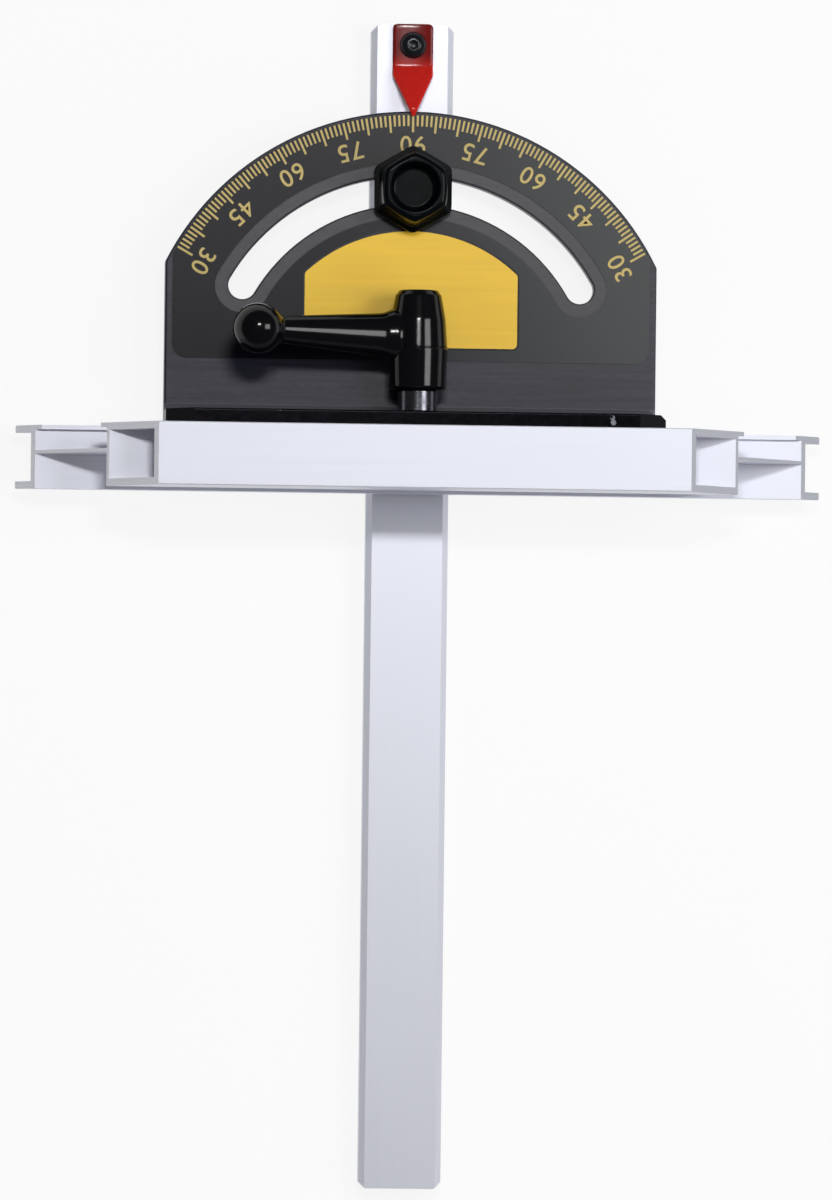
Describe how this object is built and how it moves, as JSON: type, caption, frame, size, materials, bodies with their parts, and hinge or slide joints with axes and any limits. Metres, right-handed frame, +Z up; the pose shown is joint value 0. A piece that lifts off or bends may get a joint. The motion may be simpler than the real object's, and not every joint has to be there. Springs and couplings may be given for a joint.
{
  "type": "miter gauge",
  "caption": "Table saw mitre gauge: guide bar, swivelling slotted quadrant head with pointer and clamp knob, and a sliding fence with 45 degree ends and a ratchet clamp lever.",
  "frame": {"origin": "on the underside of the guide bar, on the axis of the head's pivot", "axes": "+Z up, +Y along the bar towards the pointer end, +X to the right of a user who pushes the gauge"},
  "size_m": [0.294, 0.4254, 0.0611],
  "materials": {
    "anodised": "satin clear anodised",
    "black_casting": "satin black paint on a casting",
    "charcoal_print": "printed plate",
    "yellow_print": "printed plate",
    "bronze": "plain bearing bronze",
    "nylon": "natural",
    "black_steel": "black oxide",
    "bright_steel": "zinc plated",
    "black_plastic": "glossy moulded",
    "red_plastic": "glossy moulded",
    "black_gloss": "glossy black paint on a casting"
  },
  "bodies": {
    "bar": {"guide_bar": "anodised", "pivot_washer": "nylon", "pivot_screw": "black_steel", "clamp_stud": "bright_steel", "pointer": "red_plastic", "pointer_screw": "black_steel"},
    "head": {"quadrant_head": "black_casting", "scale_decal": "charcoal_print", "yellow_panel": "yellow_print", "pivot_bush": "bronze", "slot_nut": "bright_steel"},
    "fence": {"fence_extrusion": "anodised"},
    "washer": {"clamp_washer": "black_steel"},
    "knob": {"clamp_knob": "black_plastic", "knob_insert": "bright_steel"},
    "lever_core": {"lever_stud": "bright_steel", "lever_insert": "black_steel", "lever_screw": "black_steel", "lever_spring": "bright_steel"},
    "lever": {"lever_handle": "black_gloss"}
  },
  "joints": [
    {"name": "head_swivel", "type": "hinge", "parent": "bar", "child": "head", "pos_m": [0, 0, 0.0104], "axis": [0, 0, 1], "range_deg": [-60, 60]},
    {"name": "fence_slide", "type": "slide", "parent": "head", "child": "fence", "axis": [1, 0, 0], "range_m": [-0.05, 0.05]},
    {"name": "washer_rise", "type": "slide", "parent": "bar", "child": "washer", "axis": [0, 0, 1], "range_m": [0, 0.00125]},
    {"name": "knob_turn", "type": "hinge", "parent": "washer", "child": "knob", "pos_m": [0, 0.0712, 0.0191], "axis": [0, 0, 1], "range_deg": [0, 360]},
    {"name": "lever_turn", "type": "hinge", "parent": "head", "child": "lever_core", "pos_m": [0.002, 0, 0.03035], "axis": [0, 1, 0], "range_deg": [0, 100]},
    {"name": "lever_pull", "type": "slide", "parent": "lever_core", "child": "lever", "axis": [0, 1, 0], "range_m": [0, 0.0045], "stiffness_N_per_m": 600, "springref_m": -0.004, "deforming": ["lever_spring"]}
  ],
  "couplings": [
    {"joint": "washer_rise", "follows": "knob_turn", "m_per_rad": 0.00019894}
  ]
}
